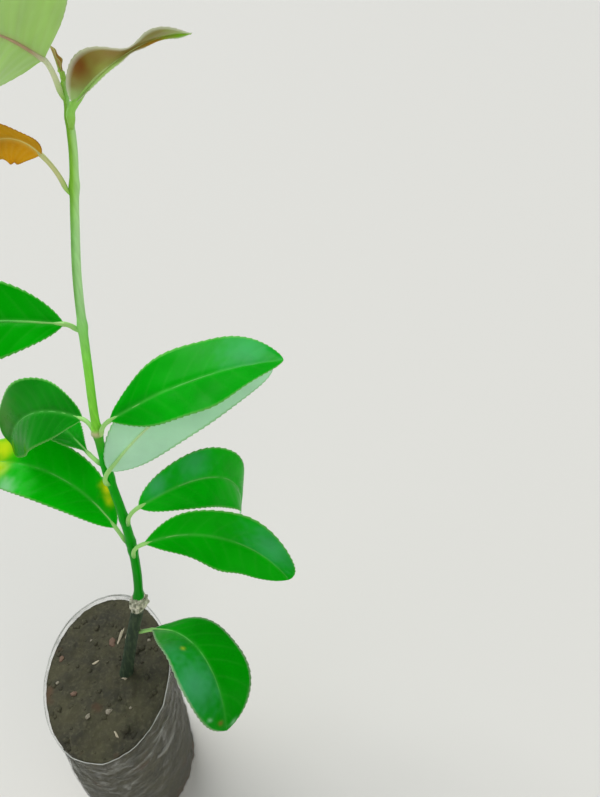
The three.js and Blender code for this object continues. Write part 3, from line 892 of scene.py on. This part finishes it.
def leaf_stations(leaf, root, start, stalk_ahead):
    """Every station from the root in the stem to the tip: centre, side, over and share along the blade."""
    first = blade_frame(leaf, 0)
    stations = []

    def add_bare(centre, ahead):
        side = (first[1] - ahead * first[1].dot(ahead)).normalized()
        stations.append((centre.copy(), side, ahead.cross(side), 0))

    knee = start - stalk_ahead * (start - root).length * 0.5
    for step in range(FOOT_STEPS):
        along = step / FOOT_STEPS
        bend = root.lerp(knee, along), knee.lerp(start, along)
        add_bare(bend[0].lerp(bend[1], along), (bend[1] - bend[0]).normalized())
    centre = start.copy()
    for step in range(STALK_STEPS):
        add_bare(centre, stalk_ahead.lerp(first[0], step / STALK_STEPS).normalized())
        middle = stalk_ahead.lerp(first[0], (step + 0.5) / STALK_STEPS).normalized()
        centre += middle * leaf["stalk"][2] / STALK_STEPS
    for step in range(BLADE_STEPS + 1):
        share, after = blade_share(step), blade_share(step + 1)
        _, side, over = blade_frame(leaf, share)
        stations.append((centre.copy(), side, over, share))
        centre += blade_frame(leaf, (share + after) / 2)[0] * (after - share) * leaf["length"]
    return stations


def vein_closeness(leaf, share, across, half):
    """How near a point of the blade is to a side vein and to the midrib, and how far it is puffed up."""
    run = (share - VEIN_SLANT * abs(across) ** 1.25) * SIDE_VEIN_PAIRS + (0.5 if across > 0 else 0)
    away = abs(run % 1 - 0.5) * leaf["length"] / SIDE_VEIN_PAIRS * 0.8
    fade = min(1, abs(across) * half / 1.5) * (1 - abs(across)) ** 0.3
    vein = bump(away, VEIN_SPREAD) * fade
    midrib = bump(across * half, MIDRIB_SPREAD)
    return vein, midrib, min(away / PUFF_SPACING, 1)


def make_leaf(leaf, stations, colours, materials):
    """Bends a flat toothed slab to the leaf's stations, and lays its stalk and midrib along them."""
    leaf = USUAL_LEAF | leaf
    mesh = bmesh.new()
    tissue = mesh.verts.layers.float_color.new("tissue")
    top_tone, under_tone, vein_tone, vein_under_tone, edge_tone, stalk_tone = map(linear, colours)
    phase = leaf["at"] * 0.7
    keel = math.sin(math.radians(leaf["fold"]))
    thickness = leaf["thickness"]

    bmesh.ops.create_grid(mesh, x_segments=BLADE_STEPS, y_segments=BLADE_SIDES, size=1)
    bmesh.ops.solidify(mesh, geom=mesh.faces[:], thickness=1)
    level = sum(spot.co.z for spot in mesh.verts) / len(mesh.verts)
    for face in mesh.faces:
        face.material_index = 0 if face.calc_center_median().z >= level else 1
    for spot in mesh.verts:
        step = round((spot.co.x + 1) / 2 * BLADE_STEPS)
        across = math.copysign(abs(spot.co.y) ** 1.2, spot.co.y)
        upper = spot.co.z > level
        centre, side, over, share = stations[BARE_STEPS + step]
        # The blade is never narrower than the midrib that lies on it
        least = 0.25 + (STALK_RADIUS - 0.35) * (1 - share) ** 6
        half = max(half_width(leaf, share), least)
        vein, midrib, puffed = vein_closeness(leaf, share, across, half)
        # Narrow parts, towards both ends, are flatter and hardly toothed
        body = min(1, half / 6)
        within_tooth = (step % STATIONS_A_TOOTH) / (STATIONS_A_TOOTH - 1)
        tooth = within_tooth * leaf["tooth"] * body * abs(across) ** 14
        turn = math.tau * WAVES * share + phase + (1.3 if across > 0 else 0)
        wave = EDGE_WAVE * math.sin(turn) * abs(across) ** 2.5
        wide = Vector((share * leaf["length"], across * half, phase * 9))
        buckle = BUCKLE_HEIGHT * noise.noise(wide / BUCKLE_SIZE)
        puff = PUFF_HEIGHT * puffed * min(1, (1 - abs(across)) * 5)
        groove = GROOVE_DEPTH * bump(across * half, GROOVE_SPREAD)
        spread = half * (leaf["right"] if across < 0 else 1)
        lift = keel * spread * math.sqrt(across ** 2 + 0.004) + body * (puff - groove + wave + buckle)
        thick = thickness / 2 * (1 - EDGE_THINNING * abs(across) ** 4)
        reach = across * spread + math.copysign(tooth, across)
        spot.co = centre + side * reach + over * (lift + (thick if upper else -thick))

        midrib *= MIDRIB_SHARE * (1 - 0.6 * share)
        if upper:
            tone = top_tone.lerp(vein_tone, min(1, VEIN_SHARE_TOP * vein + midrib))
        else:
            tone = under_tone.lerp(vein_under_tone, min(1, VEIN_SHARE_UNDER * vein + midrib))
        ragged = 1 + 0.4 * noise.noise(wide / 3)
        for at_share, at_across, size, colour, strength in leaf["patches"]:
            gap = math.hypot((share - at_share) * leaf["length"], (across - at_across) * half)
            if across * at_across >= 0:
                tone = tone.lerp(linear(colour), strength * bump(gap * ragged, size))
        margin = min(leaf["margin"], half * 0.4)
        in_margin = min(1, max(0, abs(across) * half - half + margin) / margin)
        spot[tissue] = tone.lerp(edge_tone, EDGE_SHARE * in_margin)

    last = len(stations) - 1

    def stalk_point(along, angle):
        station = along * last
        centre, side, over, share = stations[round(station)]
        base = leaf["stalk_radius"]
        radius = base * (1 - share) ** 1.1 * (1 - 0.4 * min(share * 7, 1)) + MIDRIB_LEAST
        if station < FOOT_STEPS:
            radius *= 0.5 + 0.5 * station / FOOT_STEPS
        # The stalk swells at the stem and where the blade joins it
        if share == 0:
            radius += base * (0.12 * bump(station - FOOT_STEPS, 4) + 0.1 * bump(station - BARE_STEPS, 2))
        # From there on it sinks into the blade's groove as the midrib
        sunk = min(share / 0.05, 1)
        half = half_width(leaf, share)
        groove = GROOVE_DEPTH * min(1, half / 6)
        height = sunk * (thickness / 2 + 0.1 - radius - groove + keel * half * 0.063)
        return centre + side * radius * math.cos(angle) + over * (height + radius * math.sin(angle))

    def stalk_paint(spot, along):
        station = round(along * last)
        share = stations[station][3]
        rib_tone = vein_tone.lerp(top_tone, 0.7 * share ** 1.5) if spot.co.y < 0 else vein_under_tone
        tone = stalk_tone.lerp(rib_tone, min(1, 4 * share))
        spot[tissue] = skin_tone(leaf["at"]).lerp(tone, min(1, max(0, station - 3) / (FOOT_STEPS + 1)))

    blade = set(mesh.faces)
    tube(mesh, last, STALK_SIDES, stalk_point, stalk_paint)
    for face in mesh.faces:
        if face not in blade:
            face.material_index = 2
    bmesh.ops.recalc_face_normals(mesh, faces=mesh.faces)

    piece = make_piece(leaf["node"].replace("leaf", "blade"), mesh, *materials)
    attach(piece, "root")
    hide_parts(leaf["node"])
    return piece


def stem_direction(height):
    return (stem_at(height + 1) - stem_at(height - 1)).normalized()


def stem_radius(height):
    return stub_radius(height) if height < STUB_TOP else shoot_radius(height)


def stem_leaf_stations(leaf):
    """The stations of a leaf whose stalk is sunk in the stem's side."""
    bearing, rise, _ = leaf["stalk"]
    ahead = heading(bearing, rise)
    along = stem_direction(leaf["at"])
    out = (ahead - along * ahead.dot(along)).normalized()
    tilt = math.sqrt(1 - out.dot(ahead) ** 2)
    reach = stem_radius(leaf["at"]) + STALK_GAP + STALK_RADIUS * tilt
    root = stem_at(leaf["at"] - ROOT_DROP - STEEP_ROOT_DROP * max(ahead.dot(along), 0))
    return leaf_stations(leaf, root, stem_at(leaf["at"]) + out * reach, ahead)


def leaf_material(name, roughness, specular, mottle, dimple):
    """Leaf skin that takes its colours from the mesh, mottled, with a fine relief of oil glands."""
    made, tree, shader = start_material(name)
    place = add_node(tree, "TexCoord").outputs["Object"]
    tissue = add_node(tree, "Attribute", {"attribute_name": "tissue"}).outputs["Color"]
    cloudy = add_node(tree, "TexNoise", inputs={
        "Vector": place, "Scale": pattern_scale(MOTTLE_SIZE), "Detail": 3,
    })
    shade = add_node(tree, "MapRange", inputs={
        "Value": cloudy.outputs["Fac"], "From Min": 0.3, "From Max": 0.7,
        "To Min": 1 - mottle, "To Max": 1 + mottle,
    })
    colour = add_node(tree, "Mix", {"data_type": "RGBA", "blend_type": "MULTIPLY"}, {
        0: 1.0, 6: tissue, 7: shade.outputs["Result"],
    })
    glands = add_node(tree, "TexVoronoi", inputs={
        "Vector": place, "Scale": pattern_scale(OIL_GLAND_SIZE),
    })
    relief = add_node(tree, "Bump", inputs={
        "Height": glands.outputs["Distance"], "Strength": dimple, "Distance": 0.0002,
    })
    gloss = add_node(tree, "MapRange", inputs={
        "Value": cloudy.outputs["Fac"], "From Min": 0.3, "From Max": 0.7,
        "To Min": roughness - 0.05, "To Max": roughness + 0.07,
    })
    tree.links.new(colour.outputs[2], shader.inputs["Base Color"])
    tree.links.new(gloss.outputs["Result"], shader.inputs["Roughness"])
    tree.links.new(relief.outputs["Normal"], shader.inputs["Normal"])
    shader.inputs["Specular IOR Level"].default_value = specular
    return made


# A citrus leaf's waxed top has a clear sheen, its underside is pale and matt, its stalk between the two
glossy_leaf = leaf_material("waxed_citrus_leaf", roughness=0.27, specular=0.045, mottle=0.1, dimple=0.06)
dull_leaf = leaf_material("leaf_underside", roughness=0.62, specular=0.25, mottle=0.08, dimple=0.2)
pale_stalk = leaf_material("leaf_stalk", roughness=0.5, specular=0.35, mottle=0.12, dimple=0.1)
for name, leaf in GROWN_LEAVES.items():
    leaf.update(node=name, patches=PATCHES.get(name, ()))
    edge = leaf.get("edge", MARGIN_TISSUE_AND_HIGHLIGHT)
    colours = leaf["green"], LEAF_UNDER, VEIN_TOP, VEIN_UNDER, edge, STALK_COLOUR
    materials = glossy_leaf, dull_leaf, pale_stalk
    piece = make_leaf(leaf, stem_leaf_stations(leaf), colours, materials)


# The young leaves at the tip are thinner and not yet green: one pale and half grown, with a flushed
# midrib, one still bronze, narrow and twisted, and one just opening on the very tip.
PALE_LEAF = dict(
    node="leaf_13_pale", at=305, stalk=(230, 84, 13.5), bearing=275, rise=23, length=60, width=44,
    sag=14, swing=9, roll=38, twist=33, fold=6, base=0.45, tip=0.75, tooth=0.35, thickness=0.32,
    stalk_radius=0.72)
BRONZE_LEAF = dict(
    node="leaf_12_bronze", at=297, stalk=(16, 83, 4.5), bearing=0, rise=45, length=49, width=22,
    sag=58, swing=56, roll=77, twist=70, fold=30, base=0.75, tip=0.8, pinch=0.78, right=0.14,
    tooth=0.2, thickness=0.32, stalk_radius=1.15, margin=1.7, patches=[
        (0.22, 0.72, 5, "#7a3c04", 0.97), (0.12, 0.72, 3.5, "#8c5410", 0.85),
        (0.42, 0.6, 5, "#94723c", 0.8), (0.53, 0, 4, "#6a5018", 0.85),
        (0.68, 0.4, 6, "#8a7038", 0.9), (0.68, -0.4, 5, "#b9730e", 0.85),
        (0.2, -0.7, 6, "#b0de80", 0.95), (0.36, -0.7, 5, "#a8cc74", 0.9),
        (0.03, 0, 5, "#b4d888", 0.9), (1, 0, 10.5, "#98d628", 0.98),
    ])
TIP_LEAF = dict(
    node="leaf_14_tip", at=308, stalk=(0, 0, 1.5), bearing=150, rise=80, length=8, width=4.5,
    sag=25, swing=0, roll=40, twist=0, fold=25, base=0.8, tip=0.9, tooth=0, thickness=0.3,
    stalk_radius=0.7)
# The colours of each leaf's top, underside, upper and lower midrib, margin and stalk
PALE_COLOURS = ("#8fc04a", "#b0e070", "#b8764c", "#bd986a", "#c4e092", "#e2e8ba")
BRONZE_COLOURS = ("#9aa04a", "#9a5c1e", "#b0c47c", "#a9b878", "#eef2dc", "#9ede60")
TIP_COLOURS = ("#a0782c", "#a8843c", "#8a9a3c", "#a8b058", "#b8c070", "#98c850")
# The opening leaf's stalk starts just over the shoot's top, and is rooted inside it
TIP_START = 0.3
TIP_ROOT = 3

# A young leaf has less wax on it, so that its sheen is softer and broader than a grown one's
young_leaf = leaf_material("young_leaf", roughness=0.4, specular=0.12, mottle=0.12, dimple=0.1)
materials = young_leaf, young_leaf, pale_stalk
piece = make_leaf(PALE_LEAF, stem_leaf_stations(PALE_LEAF), PALE_COLOURS, materials)
piece = make_leaf(BRONZE_LEAF, stem_leaf_stations(BRONZE_LEAF), BRONZE_COLOURS, materials)
tip_ahead = stem_direction(SHOOT_TOP - 2)
tip_start = stem_at(SHOOT_TOP) + tip_ahead * TIP_START
stations = leaf_stations(TIP_LEAF, stem_at(SHOOT_TOP - TIP_ROOT), tip_start, tip_ahead)
piece = make_leaf(TIP_LEAF, stations, TIP_COLOURS, materials)


# The withered leaf: it died half grown, and hangs dry and curled from its stalk.
# Its thin, brittle tissue has gone orange, and browner along its edge.
WITHERED_LEAF = dict(
    node="leaf_11_withered", at=275, stalk=(180, 78, 12), bearing=185, rise=52, length=26, width=15,
    sag=150, swing=0, roll=-108, twist=0, fold=25, base=0.55, tip=0.8, tooth=0.2, thickness=0.35,
    stalk_radius=0.7)
WITHERED_COLOURS = ("#ca9208", "#b8822c", "#e0d070", "#c9a468", "#a86a14", "#d2d490")

# Dry leaf tissue is dull, rough and strongly mottled
dry_leaf = leaf_material("withered_leaf", roughness=0.7, specular=0.2, mottle=0.3, dimple=0.5)
materials = dry_leaf, dry_leaf, pale_stalk
piece = make_leaf(WITHERED_LEAF, stem_leaf_stations(WITHERED_LEAF), WITHERED_COLOURS, materials)
